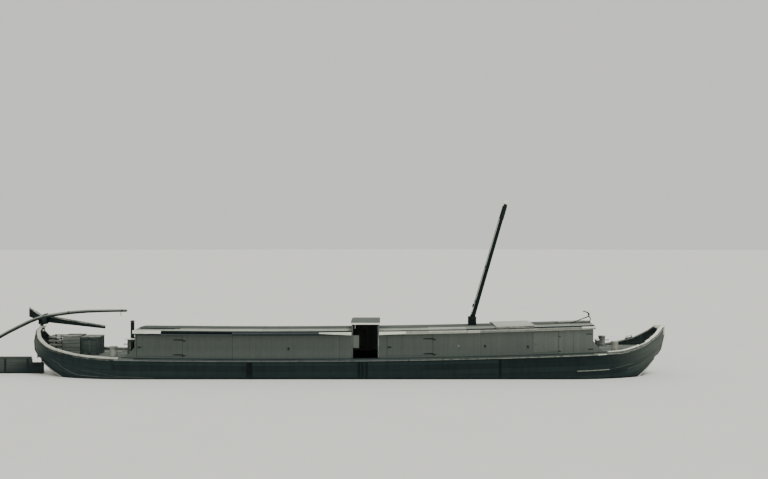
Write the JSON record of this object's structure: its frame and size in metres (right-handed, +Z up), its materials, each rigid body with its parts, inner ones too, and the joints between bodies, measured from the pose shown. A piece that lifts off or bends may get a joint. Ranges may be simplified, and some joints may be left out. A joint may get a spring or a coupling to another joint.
{
  "type": "wooden river barge",
  "caption": "Flat-bottomed wooden towed barge with a long low house over its hold, upswept ends, raked lowering mast, side doors and a broad rudder with a long tiller.",
  "frame": {"origin": "on the underside of the flat bottom, on the centre line, half way between the two bends of the sides", "axes": "+X to the bow, +Y to port, +Z up"},
  "size_m": [24.865, 2.8844, 6.7566],
  "materials": {
    "tarred_wood": "weathered tarred planks",
    "rail_paint": "worn pale paint on timber",
    "house_paint": "worn grey-green paint on upright boards",
    "roof_boards": "bleached bare boards",
    "deck_boards": "trodden bare boards",
    "dark_timber": "oiled dark timber",
    "iron": "dull black iron"
  },
  "bodies": {
    "hull": {"bottom_planking": "tarred_wood", "stem_post": "tarred_wood", "stern_post": "tarred_wood", "side_planking_starboard": "tarred_wood", "side_planking_port": "tarred_wood", "ribs_starboard": "tarred_wood", "ribs_port": "tarred_wood", "wale_starboard": "rail_paint", "wale_port": "rail_paint", "cap_rail_bow_starboard": "rail_paint", "cap_rail_bow_port": "rail_paint", "cap_rail_stern_starboard": "rail_paint", "cap_rail_stern_port": "rail_paint", "bitt_stern_starboard": "rail_paint", "bitt_stern_port": "rail_paint", "bitt_bow_starboard": "rail_paint", "bitt_bow_port": "rail_paint", "house_side_aft_starboard": "house_paint", "house_side_aft_port": "house_paint", "house_side_fore_starboard": "house_paint", "house_side_fore_port": "house_paint", "aft_wall": "house_paint", "fore_wall": "house_paint", "cabin_bulkhead": "house_paint", "portal_aft": "house_paint", "portal_fore": "house_paint", "roof_cabin": "roof_boards", "roof_aft_1": "roof_boards", "roof_aft_2": "roof_boards", "roof_fore_1": "roof_boards", "roof_fore_2": "roof_boards", "roof_fore_3": "roof_boards", "roof_fore_4": "roof_boards", "bow_deck": "deck_boards", "stern_deck": "deck_boards", "hold_floor": "deck_boards", "stern_chest": "deck_boards", "side_deck_starboard": "deck_boards", "side_deck_port": "deck_boards", "mast_case": "dark_timber", "locker": "dark_timber", "bollard_starboard": "dark_timber", "bollard_port": "dark_timber", "chimney": "iron"},
    "rudder": {"rudder_blade": "tarred_wood", "rudder_head": "dark_timber", "tiller": "rail_paint", "steering_spar": "dark_timber"},
    "mast": {"mast": "dark_timber"},
    "cabin_door": {"cabin_door": "house_paint"},
    "passage_door": {"passage_door": "house_paint"},
    "passage_hatch": {"passage_hatch": "roof_boards"},
    "fore_hatch_lid": {"fore_hatch_lid": "roof_boards"},
    "locker_lid": {"locker_lid": "roof_boards"},
    "side_door_aft_starboard": {"side_door_aft_starboard": "house_paint"},
    "side_door_aft_port": {"side_door_aft_port": "house_paint"},
    "side_door_mid_starboard": {"side_door_mid_starboard": "house_paint"},
    "side_door_mid_port": {"side_door_mid_port": "house_paint"},
    "side_door_fore_starboard": {"side_door_fore_starboard": "house_paint"},
    "side_door_fore_port": {"side_door_fore_port": "house_paint"}
  },
  "joints": [
    {"name": "rudder_turn", "type": "hinge", "parent": "hull", "child": "rudder", "pos_m": [-10.98, 0, 1.1], "axis": [0, 0, 1], "range_deg": [-35, 35]},
    {"name": "mast_lower", "type": "hinge", "parent": "hull", "child": "mast", "pos_m": [4.38, 0, 2.54], "axis": [0, 1, 0], "range_deg": [-16.3, 70]},
    {"name": "cabin_door_swing", "type": "hinge", "parent": "hull", "child": "cabin_door", "pos_m": [-7.364, 0.3, 1.6], "axis": [0, 0, -1], "range_deg": [0, 110]},
    {"name": "passage_door_swing", "type": "hinge", "parent": "hull", "child": "passage_door", "pos_m": [1.07, 1.104, 1.7], "axis": [0, 0, -1], "range_deg": [0, 100]},
    {"name": "passage_hatch_lift", "type": "hinge", "parent": "hull", "child": "passage_hatch", "pos_m": [1.1, 0, 2.45], "axis": [0, 1, 0], "range_deg": [0, 100]},
    {"name": "fore_hatch_lift", "type": "hinge", "parent": "hull", "child": "fore_hatch_lid", "pos_m": [5.79, 0.96, 2.34102], "axis": [-0.9996, 0, -0.029], "range_deg": [0, 105]},
    {"name": "locker_lid_lift", "type": "slide", "parent": "hull", "child": "locker_lid", "axis": [0, 0, 1], "range_m": [0, 0.22]},
    {"name": "side_door_aft_starboard_swing", "type": "hinge", "parent": "hull", "child": "side_door_aft_starboard", "pos_m": [-5.7, -1.104, 1.69903], "axis": [0, 0, 1], "range_deg": [0, 110]},
    {"name": "side_door_aft_port_swing", "type": "hinge", "parent": "hull", "child": "side_door_aft_port", "pos_m": [-5.7, 1.104, 1.69903], "axis": [0, 0, -1], "range_deg": [0, 110]},
    {"name": "side_door_mid_starboard_swing", "type": "hinge", "parent": "hull", "child": "side_door_mid_starboard", "pos_m": [2.93, -1.104, 1.74502], "axis": [0, 0, 1], "range_deg": [0, 110]},
    {"name": "side_door_mid_port_swing", "type": "hinge", "parent": "hull", "child": "side_door_mid_port", "pos_m": [2.93, 1.104, 1.74502], "axis": [0, 0, -1], "range_deg": [0, 110]},
    {"name": "side_door_fore_starboard_swing", "type": "hinge", "parent": "hull", "child": "side_door_fore_starboard", "pos_m": [7.27, -1.104, 1.86103], "axis": [0, 0, 1], "range_deg": [0, 110]},
    {"name": "side_door_fore_port_swing", "type": "hinge", "parent": "hull", "child": "side_door_fore_port", "pos_m": [7.27, 1.104, 1.86103], "axis": [0, 0, -1], "range_deg": [0, 110]}
  ]
}
